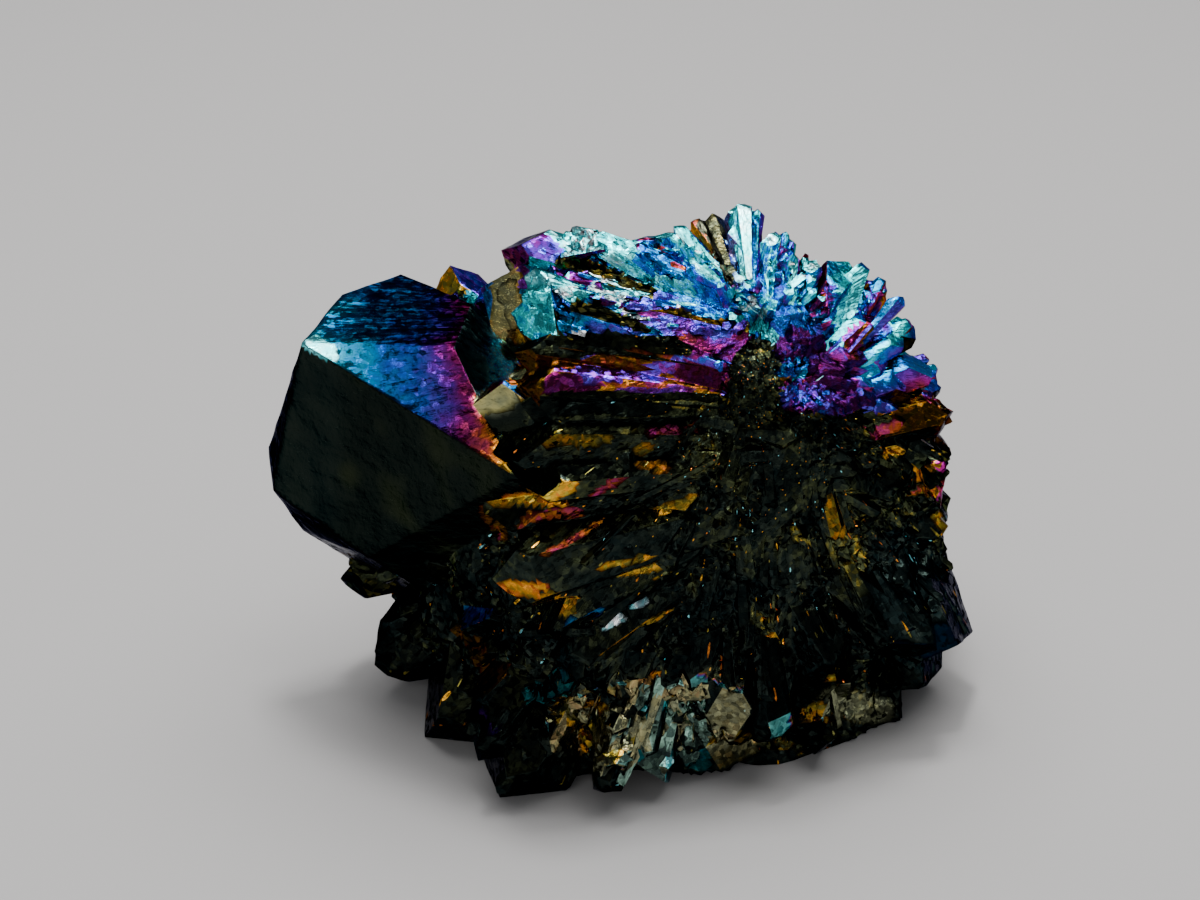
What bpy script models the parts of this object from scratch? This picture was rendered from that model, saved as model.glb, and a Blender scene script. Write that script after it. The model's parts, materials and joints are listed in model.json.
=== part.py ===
"""Aura quartz cluster, about 50 mm wide: one solid of quartz crystals that grew together.

Crystals fan out from a rough, broken hub. Their flat sides and tips make the rim, the left side
and the back, the front is the rough broken face, and one large pointed crystal stands out to the
left. The cluster rests on the flattened ends of a few crystals.

Frame: metres, +Z up, the front faces -Y, the origin is the middle of the footprint's box at z = 0.
"""

import math
import random

import bmesh
import bpy
from mathutils import Matrix, Vector, noise

MM = 0.001

# Driving dimensions, in millimetres, in the frame in which the cluster was laid out.
FOOTPRINT_CENTRE = (1.885, 2.205)
HUB = Vector((10.0, -5.0, 25.0))
ROCK_CENTRE = Vector((5.5, 1.0, 15.5))
ROCK_RADII = Vector((20.0, 14.6, 22.0))
ROCK_FULLNESS = 2.6
ROCK_DETAIL = 4
KNOB_CENTRE = Vector((10.6, -6.2, 29.6))
KNOB_RADII = Vector((3.0, 3.4, 4.0))
REST_DEPTH = 6.0

# Quartz angles: six sides round the long axis, and tip faces 51.8 degrees from the base plane.
SIDES = 6
TIP_SLOPE = math.radians(51.8)

SEED = 11

COATING = (0.06, 0.09, 0.12, 1.0)
COATING_ROUGHNESS = 0.22
COATING_METALLIC = 0.9

# The flats that the broken hub is pressed to: outward direction, and distance from ROCK_CENTRE.
ROCK_FLATS = (
    ((0.33, -0.94, 0.0), 11.9),
    ((0.0, -0.99, 0.12), 12.7),
    ((0.52, -0.85, 0.0), 12.4),
    ((0.78, -0.63, 0.0), 14.9),
    ((-0.78, -0.63, 0.0), 16.6),
    ((0.0, -0.50, 0.87), 16.0),
    ((0.70, 0.0, 0.72), 16.4),
    ((-0.6, 0.2, 0.77), 15.6),
    ((0.0, 0.4, 0.92), 15.8),
    ((0.0, 0.0, -1.0), 15.7),
)

# Crystals placed one by one: name, tip, root, thickness, flatness, roll in degrees, chisel.
# The chisel says how far one tip face cuts back past the others, as a share of the thickness.
TOP_LEFT = (
    ("violet_block", (-7.1, 0.8, 37.7), (9.0, -1.0, 33.5), 4.2, 0.9, 20, 0.2),
    ("shelf_ridge", (-4.6, 0.2, 38.1), (11.0, -2.0, 34.6), 4.4, 0.8, -15, 0.4),
    ("shelf_back", (1.4, 2.0, 37.6), (11.0, -2.5, 33.6), 4.4, 0.8, 10, 0.2),
    ("shelf_body", (-6.4, -4.0, 35.9), (10.0, -4.6, 32.6), 8.4, 0.55, 60, 0.2),
    ("shelf_core", (-0.6, -2.2, 35.2), (10.6, -2.6, 32.0), 4.6, 0.9, 0, 0.1),
    ("shelf_front", (-9.6, -4.4, 36.9), (10.0, -5.8, 30.4), 6.4, 0.95, -75, 0.7),
    ("dark_blade", (-6.0, -7.6, 34.0), (8.0, -6.4, 31.2), 3.4, 0.8, 15, 0.2),
    ("magenta_blade", (-5.8, -9.6, 32.3), (8.0, -7.4, 29.8), 3.9, 0.8, 0, 0.1),
    ("olive_tip", (-8.6, -10.2, 30.4), (1.0, -6.2, 29.4), 4.0, 1.0, -90, 0.4),
    ("olive_slab", (-7.6, -11.0, 28.2), (9.0, -7.6, 26.5), 5.4, 0.8, -20, 0.2),
    ("gold_wedge", (-9.2, -12.0, 24.2), (9.0, -8.4, 24.5), 5.8, 0.9, -35, 0.6),
    ("olive_prism", (-8.0, -12.8, 19.4), (9.0, -9.0, 22.0), 7.0, 0.9, 35, 0.2),
    ("streak_blade", (-4.8, -13.4, 15.0), (8.0, -9.8, 20.5), 4.8, 0.8, 0, 0.2),
)
FAN = (
    ("fan_blue", (4.8, 3.2, 36.8), (10.0, -3.4, 30.0), 4.2, 0.7, 30, 0.5),
    ("fan_pink", (7.1, 6.4, 36.9), (10.2, -1.0, 29.0), 2.8, 0.8, 0, 0.1),
    ("fan_tall", (9.9, 4.6, 39.2), (10.6, -3.0, 29.0), 2.7, 0.9, 15, 0.2),
    ("fan_white", (12.5, 3.6, 37.4), (11.0, -3.2, 29.0), 3.4, 0.8, 40, 0.1),
    ("fan_inner", (14.0, 1.2, 35.0), (11.4, -4.0, 29.0), 2.4, 0.8, 10, 0.0),
    ("fan_thin", (15.3, 3.0, 35.4), (11.6, -3.5, 28.5), 2.0, 0.8, 0, 0.1),
    ("fan_teal", (17.8, 4.4, 34.8), (12.0, -3.0, 28.0), 4.0, 0.65, 35, 0.2),
    ("fan_pale", (20.4, 6.0, 32.0), (12.4, -1.5, 27.0), 2.8, 0.9, 20, 0.1),
    ("fan_stub", (19.6, 1.6, 31.4), (12.4, -3.5, 27.5), 2.6, 0.8, 10, 0.0),
    ("fan_right", (22.6, 3.6, 29.8), (12.6, -3.0, 26.5), 3.2, 0.8, 30, 0.1),
    ("fan_cyan", (24.0, 2.2, 27.4), (12.6, -4.0, 25.5), 3.6, 0.8, 15, 0.2),
    ("brown_blade", (25.2, 0.0, 25.0), (12.0, -5.0, 24.0), 3.8, 0.8, 0, 0.1),
    ("pink_tip_upper", (24.2, 1.4, 21.2), (14.0, -4.0, 22.0), 3.8, 0.9, 0, 0.1),
    ("pink_tip_lower", (24.8, 1.4, 17.8), (14.0, -4.0, 20.0), 3.6, 0.9, 25, 0.2),
    ("olive_gold_tip", (25.8, 2.0, 14.2), (14.0, -3.0, 17.5), 4.4, 0.9, 10, 0.3),
)
LOW_RIGHT = (
    ("dark_blue_lump", (28.4, 1.8, 5.4), (12.0, -1.0, 13.0), 11.4, 0.95, 18, 0.1),
    ("dark_blue_foot", (26.2, 1.4, 1.6), (12.0, -1.0, 12.0), 9.0, 0.95, 40, 0.1),
    ("dark_blue_shoulder", (26.2, -0.4, 10.4), (13.0, -4.0, 14.0), 6.8, 0.9, 40, 0.3),
)
LOW_FRONT = (
    ("low_right_slab", (24.6, -2.6, 1.6), (12.0, -4.0, 16.0), 8.8, 0.8, 10, 0.2),
    ("low_right_lobe", (19.2, -8.2, 3.0), (11.0, -5.0, 16.0), 7.6, 0.8, 30, 0.3),
    ("low_right_wedge", (13.8, -10.6, 1.2), (11.0, -5.0, 16.0), 7.0, 0.8, 50, 0.3),
    ("low_wedge", (8.4, -12.6, 1.6), (10.0, -7.0, 16.0), 7.0, 0.8, 50, 0.4),
    ("low_mid", (3.4, -13.8, 2.0), (9.0, -7.5, 17.0), 6.4, 0.8, 15, 0.4),
    ("low_front", (-2.6, -14.4, 0.8), (7.0, -7.0, 15.0), 7.2, 0.85, 40, 0.3),
    ("low_foot", (1.0, -13.0, -2.0), (6.0, -6.0, 14.0), 8.4, 0.9, 10, 0.1),
    ("low_beige", (-3.4, -14.2, 6.2), (8.0, -8.0, 17.0), 6.0, 0.8, -30, 0.7),
    ("low_blue", (-5.8, -13.6, 10.4), (8.0, -8.5, 18.0), 6.0, 0.85, 0, 0.5),
)
LEFT_SIDE = (
    ("side_corner", (-8.6, -12.2, -1.2), (4.0, -4.0, 16.0), 9.4, 0.9, 22, 0.2),
    ("side_upper", (-8.8, -9.4, 15.6), (6.0, -3.0, 19.0), 7.8, 0.9, 30, 0.4),
    ("side_middle", (-11.6, -8.0, 8.0), (6.0, -2.0, 16.0), 8.8, 0.9, 5, 0.5),
    ("side_low", (-14.6, -5.0, 0.4), (4.0, 0.0, 15.0), 9.0, 0.9, 12, 0.3),
    ("side_far", (-18.0, 2.4, 3.0), (4.0, 2.0, 14.0), 8.8, 0.9, 40, 0.3),
    ("olive_stub", (-19.6, 4.4, 8.2), (-8.0, 3.0, 11.0), 4.8, 0.95, 18, 0.1),
    ("yellow_violet_tip", (-10.5, 10.8, 31.2), (-6.0, 6.5, 18.0), 4.6, 0.9, 30, 0.2),
)

# The large point: a squat crystal whose tip faces meet at the apex like the corner of a cube.
# Its corners go round the tip from the apex, and its sides run back from them along its axis.
POINT_CORNERS = (
    (-21.0, -0.8, 30.7),
    (-5.8, -12.6, 26.7),
    (-16.7, -3.75, 14.75),
    (-19.1, 0.5, 12.9),
    (-21.9, 2.0, 13.5),
    (-23.9, 1.4, 17.3),
    (-24.2, 3.0, 20.0),
    (-18.6, 5.8, 31.1),
    (-14.5, 8.4, 31.4),
    (-9.2, 3.2, 31.7),
    (-10.2, -3.0, 31.5),
)
POINT_AXIS = Vector((-0.714, -0.208, 0.669))
POINT_REACH = 25.0
POINT_MERGE_ANGLE = math.radians(2.0)

# Crystals beside each placed one, thinner and parallel to it, and rows of shorter ones in front
# of the fan: share of the fan's reach, step forward, and thickness.
COMPANION_SHARE = (0.5, 0.7)
FAN_ROWS = (
    (0.80, 1.2, (2.2, 3.2)),
    (0.62, 2.4, (2.0, 3.0)),
    (0.46, 3.6, (1.8, 2.6)),
)
FAN_ROW_STEPS = 2

# Crystals that cover the back, set out evenly over the outside of the rock.
# Each size: name, number all round, thickness, and how far the tips stand proud.
BACK_SIZES = (
    ("back_large", 34, (8.5, 12.0), (3.2, 6.2)),
    ("back_middle", 84, (4.6, 7.0), (2.0, 4.6)),
    ("back_small", 104, (2.4, 3.8), (1.0, 2.8)),
)

# Broken crystal sides that lie along the rough front, pointing away from the hub.
SHARD_COUNT = 52
SHARD_LENGTH = (5.0, 11.0)
SHARD_THICKNESS = (1.8, 3.8)

# Chips knocked off the tips of the low front crystals and of the shards: how many, the slope of the
# break from the base plane, and how deep it goes as a share of the crystal's radius.
LOW_CHIPS = 5
SHARD_CHIPS = 1
CHIP_SLOPE = (math.radians(15.0), math.radians(75.0))
CHIP_DEPTH = (0.1, 0.6)


def oriented(axis, roll):
    """Rotation whose Z is axis and whose X is as near world up as it can be, then rolled."""
    z = axis.normalized()
    up = Vector((0.0, 0.0, 1.0)) if abs(z.z) < 0.95 else Vector((0.0, 1.0, 0.0))
    x = (up - z * up.dot(z)).normalized()
    y = z.cross(x)
    return Matrix((x, y, z)).transposed() @ Matrix.Rotation(roll, 3, "Z")


def cut(bm, point, normal):
    """Cuts away what lies outside the plane, and closes the cut."""
    geometry = bm.verts[:] + bm.edges[:] + bm.faces[:]
    result = bmesh.ops.bisect_plane(
        bm, geom=geometry, dist=1e-4, plane_co=point, plane_no=normal, clear_outer=True
    )
    rim = [g for g in result["geom_cut"] if isinstance(g, bmesh.types.BMEdge)]
    if rim:
        bmesh.ops.edgeloop_fill(bm, edges=rim)


def quartz_bmesh(length, thickness, flatness, chisel, rng):
    """A six-sided crystal from the origin to (0, 0, length), narrower at its root."""
    bm = bmesh.new()
    radius = thickness / 2
    side_angle = 2 * math.pi / SIDES
    bmesh.ops.create_cone(
        bm,
        cap_ends=True,
        segments=SIDES,
        radius1=radius * 0.66,
        radius2=radius * 1.1,
        depth=length * 1.1,
        matrix=Matrix.Translation((0, 0, length * 0.55)),
    )
    stretch = [rng.uniform(0.88, 1.14) for _ in range(SIDES)]
    for v in bm.verts:
        column = round(math.atan2(v.co.y, v.co.x) / side_angle - 0.5) % SIDES
        v.co.x *= stretch[column]
        v.co.y *= stretch[column] * flatness
    for side in range(SIDES):
        minor = side % 2
        lift = rng.uniform(0.25, 0.6) if minor else rng.uniform(-0.05, 0.15)
        if side == 0:
            lift = -2 * chisel
        outward = Vector((math.cos(side * side_angle), math.sin(side * side_angle), 0.0))
        normal = outward * math.sin(TIP_SLOPE) + Vector((0, 0, math.cos(TIP_SLOPE)))
        cut(bm, Vector((0, 0, length + lift * radius)), normal)
    return bm


def chip(bm, radius, rng):
    """Breaks a piece off the crystal's tip along a plane."""
    turn = rng.uniform(0.0, math.tau)
    slope = rng.uniform(*CHIP_SLOPE)
    outward = Vector((math.cos(turn), math.sin(turn), 0.0))
    normal = outward * math.sin(slope) + Vector((0, 0, math.cos(slope)))
    reach = max(v.co.dot(normal) for v in bm.verts)
    cut(bm, normal * (reach - radius * rng.uniform(*CHIP_DEPTH)), normal)


def add_crystal(name, tip, root, thickness, flatness, roll, chisel, rng, collection, chips=0):
    """One crystal from root to tip, as an object placed in the cluster."""
    axis = tip - root
    bm = quartz_bmesh(axis.length, thickness, flatness, chisel, rng)
    for _ in range(chips):
        chip(bm, thickness / 2, rng)
    placing = Matrix.Translation(root) @ oriented(axis, math.radians(roll)).to_4x4()
    return solid_from(bm, name, placing, collection)


def solid_from(bm, name, placing, collection):
    """Moves a mesh from millimetres in the layout frame to metres in the part's, as an object."""
    bm.transform(to_part_frame() @ placing)
    bmesh.ops.recalc_face_normals(bm, faces=bm.faces[:])
    if bm.calc_volume(signed=True) < 0:
        bmesh.ops.reverse_faces(bm, faces=bm.faces[:])
    mesh = bpy.data.meshes.new(name)
    bm.to_mesh(mesh)
    bm.free()
    solid = bpy.data.objects.new(name, mesh)
    collection.objects.link(solid)
    return solid


def to_part_frame():
    x, y = FOOTPRINT_CENTRE
    return Matrix.Scale(MM, 4) @ Matrix.Translation((-x, -y, 0.0))


def placed_crystals(collection):
    """The crystals placed one by one, each with a companion grown beside it."""
    for row in TOP_LEFT + FAN + LOW_RIGHT + LOW_FRONT + LEFT_SIDE:
        name, tip, root, thickness, flatness, roll, chisel = row
        chips = LOW_CHIPS if row in LOW_FRONT else 0
        rng = random.Random(name)
        tip, root = Vector(tip), Vector(root)
        add_crystal(name, tip, root, thickness, flatness, roll, chisel, rng, collection, chips)
        across = Vector((rng.choice((-0.42, 0.42)), rng.uniform(-0.3, 0.3), 0.0)) * thickness
        aside = oriented(tip - root, math.radians(roll)) @ across
        add_crystal(
            name + "_companion",
            root.lerp(tip, rng.uniform(0.74, 0.9)) + aside,
            root + aside * 0.4,
            thickness * rng.uniform(*COMPANION_SHARE),
            flatness,
            roll + rng.uniform(-6, 6),
            rng.uniform(0.0, 0.4),
            rng,
            collection,
            chips,
        )


def fan_rows(collection):
    """Rows of shorter crystals that step down from the fan to the top of the rough front."""
    rng = random.Random(SEED + 2)
    for row, (reach, step, thicknesses) in enumerate(FAN_ROWS):
        for before, after in zip(FAN, FAN[1:]):
            for i in range(FAN_ROW_STEPS):
                share = (i + rng.uniform(0.2, 0.8)) / FAN_ROW_STEPS
                tip = Vector(before[1]).lerp(Vector(after[1]), share)
                root = Vector(before[2]).lerp(Vector(after[2]), share)
                forward = Vector((0.0, -step * rng.uniform(0.8, 1.2), 0.0))
                add_crystal(
                    f"fan_row_{row + 1}_{before[0]}_{i + 1}",
                    root.lerp(tip, reach * rng.uniform(0.9, 1.1)) + forward,
                    root + forward * 0.5,
                    rng.uniform(*thicknesses),
                    0.85,
                    rng.uniform(0, 60),
                    rng.uniform(0.0, 0.4),
                    rng,
                    collection,
                )


def large_point(collection):
    """The large point, the hull of its corners and of the same corners set back along its axis."""
    bm = bmesh.new()
    for corner in POINT_CORNERS:
        bm.verts.new(corner)
        bm.verts.new(Vector(corner) - POINT_AXIS * POINT_REACH)
    hull = bmesh.ops.convex_hull(bm, input=bm.verts[:])
    spare = {g for g in hull["geom_interior"] if isinstance(g, bmesh.types.BMVert)}
    bmesh.ops.delete(bm, geom=list(spare), context="VERTS")
    bmesh.ops.dissolve_limit(
        bm, angle_limit=POINT_MERGE_ANGLE, verts=bm.verts[:], edges=bm.edges[:]
    )
    solid_from(bm, "large_point", Matrix.Identity(4), collection)


def spread_directions(count, rng):
    """Directions set out evenly all round, each a little off its place."""
    golden = math.pi * (3 - math.sqrt(5))
    for i in range(count):
        z = 1 - 2 * (i + 0.5) / count
        ring = math.sqrt(1 - z * z)
        direction = Vector((ring * math.cos(i * golden), ring * math.sin(i * golden), z))
        direction += Vector([rng.uniform(-0.08, 0.08) for _ in range(3)])
        yield direction.normalized()


def back_crystals(collection):
    """Crystals over the back and the far sides of the rock, pointing away from the hub."""
    rng = random.Random(SEED + 1)
    for name, count, thicknesses, prouds in BACK_SIZES:
        for i, direction in enumerate(spread_directions(count, rng)):
            thickness = rng.uniform(*thicknesses)
            proud = rng.uniform(*prouds)
            on_front = direction.y < 0.15 + max(direction.x, 0.0) * 0.3
            under_fan = direction.z > 0.6 and direction.y < 0.35
            if on_front or under_fan or direction.z < -0.8:
                continue
            surface = rock_point(direction)
            away = (surface - HUB.lerp(ROCK_CENTRE, 0.6)).normalized()
            add_crystal(
                f"{name}_{i:03d}",
                surface + away * proud,
                surface - away * 9.0,
                thickness,
                rng.uniform(0.8, 1.0),
                rng.uniform(0, 60),
                rng.uniform(0.0, 0.4),
                rng,
                collection,
            )


def front_shards(collection):
    """Broken crystal sides, half sunk in the rough front and pointing away from the hub."""
    rng = random.Random(SEED + 3)
    for i, direction in enumerate(spread_directions(2 * SHARD_COUNT, rng)):
        length = rng.uniform(*SHARD_LENGTH)
        thickness = rng.uniform(*SHARD_THICKNESS)
        if direction.y > -0.1 or direction.z > 0.85:
            continue
        surface = rock_point(direction)
        from_hub = surface - Vector((HUB.x, HUB.y - 7.0, HUB.z + 3.0))
        along = (from_hub - direction * from_hub.dot(direction)).normalized()
        add_crystal(
            f"shard_{i:03d}",
            surface + along * length * 0.5 - direction * thickness * 0.44,
            surface - along * length * 0.5 - direction * thickness * 0.42,
            thickness,
            0.8,
            rng.uniform(0, 60),
            rng.uniform(0.0, 0.6),
            rng,
            collection,
            SHARD_CHIPS,
        )


def rock_point(direction):
    """Where the smooth rock's surface lies in a direction from its centre."""
    fullness = sum(abs(d) ** ROCK_FULLNESS for d in direction) ** (-1 / ROCK_FULLNESS)
    p = Vector([d * fullness * r for d, r in zip(direction, ROCK_RADII)])
    for outward, reach in ROCK_FLATS:
        normal = Vector(outward).normalized()
        over = p.dot(normal) - reach
        if over > 0:
            p -= normal * over * 0.9
    return ROCK_CENTRE + p


def roughened(p, centre):
    """A surface point moved in or out for the rock's lumps, pits and broken shards."""
    from_hub = p - HUB
    spoke = from_hub.normalized() * 8.0
    shards = noise.cell(spoke + Vector((0, 0, from_hub.length * 0.16)))
    lumps = noise.noise(p * 0.16)
    grit = noise.noise(p * 0.55 + Vector((7.0, 0.0, 0.0)))
    return centre + (p - centre) * (1 + 0.04 * lumps + 0.02 * grit + 0.03 * (shards - 0.5))


def rock(collection):
    """The rough hub that every crystal grows from."""
    bm = bmesh.new()
    bmesh.ops.create_icosphere(bm, subdivisions=ROCK_DETAIL, radius=1.0)
    for v in bm.verts:
        v.co = roughened(rock_point(v.co.normalized()), ROCK_CENTRE)
    return solid_from(bm, "quartz_cluster", Matrix.Identity(4), collection)


def hub_knob(collection):
    """The dark rounded knob at the top of the front, where the fan starts."""
    bm = bmesh.new()
    bmesh.ops.create_icosphere(bm, subdivisions=ROCK_DETAIL - 1, radius=1.0)
    for v in bm.verts:
        reach = Vector([d * r for d, r in zip(v.co, KNOB_RADII)])
        v.co = roughened(KNOB_CENTRE + reach, KNOB_CENTRE)
    solid_from(bm, "hub_knob", Matrix.Identity(4), collection)


def coating():
    """The dark mirror of the metal coating, which covers every face."""
    material = bpy.data.materials.new("aura_coating")
    material.use_nodes = True
    surface = material.node_tree.nodes["Principled BSDF"]
    surface.inputs["Base Color"].default_value = COATING
    surface.inputs["Roughness"].default_value = COATING_ROUGHNESS
    surface.inputs["Metallic"].default_value = COATING_METALLIC
    return material


def new_collection(name, parent=None):
    made = bpy.data.collections.new(name)
    (parent or bpy.context.scene.collection).children.link(made)
    return made


def rest_cutter(collection):
    """A block below z = 0, which trims the lowest crystals flat."""
    bm = bmesh.new()
    block = Matrix.Translation((0, 0, -REST_DEPTH)) @ Matrix.Diagonal((90, 90, REST_DEPTH * 2, 1))
    bmesh.ops.create_cube(bm, size=1.0, matrix=block)
    return solid_from(bm, "rest_cutter", Matrix.Identity(4), collection)


def build():
    for old in list(bpy.data.objects):
        bpy.data.objects.remove(old)
    cluster = new_collection("aura_quartz_cluster")
    crystals = new_collection("crystals")
    cutters = new_collection("cutters")

    solid = rock(cluster)
    solid.data.materials.append(coating())
    placed_crystals(crystals)
    fan_rows(crystals)
    large_point(crystals)
    back_crystals(crystals)
    front_shards(crystals)
    hub_knob(crystals)
    cutter = rest_cutter(cutters)
    for helper in [*crystals.objects, cutter]:
        helper.hide_render = True
        helper.display_type = "WIRE"

    grown = solid.modifiers.new("grown_together", "BOOLEAN")
    grown.operation = "UNION"
    grown.operand_type = "COLLECTION"
    grown.collection = crystals
    grown.solver = "EXACT"
    trimmed = solid.modifiers.new("rests_flat", "BOOLEAN")
    trimmed.operation = "DIFFERENCE"
    trimmed.object = cutter
    trimmed.solver = "EXACT"


build()
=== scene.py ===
"""The looks of the aura quartz cluster: its small crystals, broken rock and iridescent metal film,
whose colour carries painted highlights and shade.

Lengths are in millimetres in the part's frame until the finished mesh is scaled to metres.
"""

import json
import math
import random

import bmesh
import bpy
import numpy as np
from mathutils import Matrix, Quaternion, Vector, noise
from mathutils.bvhtree import BVHTree

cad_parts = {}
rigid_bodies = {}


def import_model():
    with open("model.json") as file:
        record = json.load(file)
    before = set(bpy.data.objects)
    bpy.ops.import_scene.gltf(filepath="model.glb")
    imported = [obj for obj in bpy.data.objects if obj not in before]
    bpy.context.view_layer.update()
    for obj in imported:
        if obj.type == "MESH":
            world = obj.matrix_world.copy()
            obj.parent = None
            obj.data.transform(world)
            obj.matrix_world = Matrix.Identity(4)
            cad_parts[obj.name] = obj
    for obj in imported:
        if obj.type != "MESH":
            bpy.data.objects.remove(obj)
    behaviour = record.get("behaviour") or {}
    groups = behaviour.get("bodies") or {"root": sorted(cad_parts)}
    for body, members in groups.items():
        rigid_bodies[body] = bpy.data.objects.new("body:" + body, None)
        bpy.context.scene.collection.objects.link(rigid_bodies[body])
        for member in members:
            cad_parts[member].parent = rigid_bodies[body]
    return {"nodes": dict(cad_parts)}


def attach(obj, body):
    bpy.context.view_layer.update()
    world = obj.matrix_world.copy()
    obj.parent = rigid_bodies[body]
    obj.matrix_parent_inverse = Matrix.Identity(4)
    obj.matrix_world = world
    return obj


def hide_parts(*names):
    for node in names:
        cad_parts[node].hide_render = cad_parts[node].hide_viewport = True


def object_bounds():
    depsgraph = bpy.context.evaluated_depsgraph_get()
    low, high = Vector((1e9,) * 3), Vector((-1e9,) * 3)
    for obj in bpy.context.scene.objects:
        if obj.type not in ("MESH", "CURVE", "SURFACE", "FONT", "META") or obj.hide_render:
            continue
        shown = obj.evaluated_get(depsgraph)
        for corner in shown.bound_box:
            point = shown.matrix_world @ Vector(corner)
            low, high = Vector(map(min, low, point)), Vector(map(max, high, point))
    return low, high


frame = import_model()
cad_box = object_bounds()

NODE = "quartz_cluster"
MM = 0.001
SEED = 5

# Points this near are one point, and points this low are on the rest face.
WELD = 1e-4
REST_HEIGHT = 0.02

# The camera looks at the front from 30 degrees above, at a point in the middle of the cluster.
VIEW_CENTRE = Vector((-1.9, -2.2, 21.5))
VIEW_ELEVATION = math.radians(30.0)
VIEW_UP = Vector((0.0, math.sin(VIEW_ELEVATION), math.cos(VIEW_ELEVATION)))
TO_VIEWER = Vector((0.0, -math.cos(VIEW_ELEVATION), math.sin(VIEW_ELEVATION)))

# Where the crystals and the broken shards fan out from, and the light that the film shows best in.
HUB = Vector((8.1, -4.0, 30.5))
# Facets that face this direction are painted brighter in the film's colour, as painted light.
LIT_DIRECTION = Vector((0.0, -0.42, 0.91)).normalized()

# The dark knob that the fan starts from, across and up in the front view.
KNOB = (8.8, 4.6)
KNOB_RADIUS = 2.4

# Facets of the solid: what counts as one plane, and which small ones are broken rock.
PLANE_ANGLE = math.radians(1.5)
ROCK_ANGLE = math.radians(26.0)
ROCK_FACET_AREA = 5.0
ROCK_NEIGHBOURS = 2
ANY_ROCK = 0.01
NO_ANGLE = 9.0
NO_AREA = 1e-9

# Quartz angles: six sides round the long axis, and tip faces 51.8 degrees from the base plane.
SIDES = 6
TIP_SLOPE = math.radians(51.8)

# A crystal is cut from a longer blank that flares a little. Its tip faces alternate between
# high ones, which stay small, and low ones, which take up most of the tip.
BLANK_LENGTH = 1.2
BLANK_FLARE = 1.1
HIGH_TIP_FACE = (0.3, 0.7)
LOW_TIP_FACE = (-0.05, 0.2)

# The finest edges: on the rock, on the crystals seen from the front, behind, and underneath. The
# mesh gets there in steps, each a multiple of these lengths.
ROCK_EDGE = 0.50
FRONT_EDGE = 0.66
BACK_EDGE = 1.0
UNDER_EDGE = 3.0
REFINE_STEPS = (4.2, 2.9, 2.0, 1.4, 1.0)
FINE_ROCK_DEPTH = 4.0
LOWEST_SEEN = -24.0
SHARP_ANGLE = math.radians(26.0)


def smooth(low, high, x):
    """0 below low, 1 above high, and a smooth step between them. Takes numbers or arrays."""
    s = np.clip((x - low) / (high - low), 0.0, 1.0)
    return s * s * (3 - 2 * s)


def view_height(p):
    """How high a point stands in the front view."""
    return (p - VIEW_CENTRE).dot(VIEW_UP)


# --- small crystals ----------------------------------------------------------------------------


def quartz_bmesh(length, thickness, flatness, chisel, rng, root=0.7):
    """A six-sided crystal from the origin to (0, 0, length), narrower at its root."""
    bm = bmesh.new()
    radius = thickness / 2
    middle = Vector((0, 0, length * BLANK_LENGTH / 2))
    bmesh.ops.create_cone(
        bm,
        cap_ends=True,
        segments=SIDES,
        radius1=radius * root,
        radius2=radius * BLANK_FLARE,
        depth=length * BLANK_LENGTH,
        matrix=Matrix.Translation(middle) @ Matrix.Diagonal((1, flatness, 1, 1)),
    )
    for side in range(SIDES):
        lift = rng.uniform(*(HIGH_TIP_FACE if side % 2 else LOW_TIP_FACE))
        if side == 0:
            lift = -2 * chisel
        turn = 2 * math.pi * side / SIDES
        outward = Vector((math.cos(turn), math.sin(turn), 0.0))
        normal = outward * math.sin(TIP_SLOPE) + Vector((0, 0, math.cos(TIP_SLOPE)))
        geometry = bm.verts[:] + bm.edges[:] + bm.faces[:]
        result = bmesh.ops.bisect_plane(
            bm,
            geom=geometry,
            dist=WELD,
            plane_co=Vector((0, 0, length + lift * radius)),
            plane_no=normal,
            clear_outer=True,
        )
        rim = [g for g in result["geom_cut"] if isinstance(g, bmesh.types.BMEdge)]
        if rim:
            bmesh.ops.edgeloop_fill(bm, edges=rim)
    return bm


def fan_share(p, n):
    """Thin blades between the fan's large crystals, closer together near the hub."""
    above = smooth(3.0, 5.0, view_height(p)) * smooth(2.0, 6.0, p.x)
    inner = 0.06 + 0.94 * smooth(10.0, 6.0, (p - HUB).length)
    knob = math.hypot(p.x - KNOB[0], view_height(p) - KNOB[1])
    inner *= smooth(KNOB_RADIUS, KNOB_RADIUS + 1.0, knob)
    return above * inner * smooth(-0.2, 0.4, n.dot(LIT_DIRECTION))


def shelf_share(p, n):
    """Splinters along the rough shelf at the top left."""
    on_shelf = smooth(7.0, 9.0, view_height(p)) * smooth(-6.5, -4.5, p.x) * smooth(9.0, 5.0, p.x)
    return on_shelf * smooth(30.0, 32.0, p.z) * smooth(-0.1, 0.3, n.dot(TO_VIEWER))


def druse_share(p, n):
    """The patch of small crystals at the foot of the front."""
    d = math.hypot((p.x + 1.0) / 8.0, (view_height(p) + 19.0) / 4.5)
    return smooth(1.0, 0.7, d) * smooth(0.1, 0.5, -n.y) * smooth(0.5, 1.5, p.z)


def front_share(p, n):
    """Splinters along the dark broken front."""
    below = smooth(4.0, 1.0, view_height(p)) * smooth(-9.0, -4.0, p.x)
    below *= max(smooth(0.0, 4.0, p.x), smooth(-8.0, -11.0, view_height(p)))
    return below * smooth(0.2, 0.6, n.dot(TO_VIEWER)) * smooth(1.0, 3.0, p.z)


def rim_share(p, n):
    """Short tips along the right-hand rim."""
    return smooth(17.0, 20.0, p.x) * smooth(9.0, 12.0, p.z) * smooth(27.0, 24.0, p.z)


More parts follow.
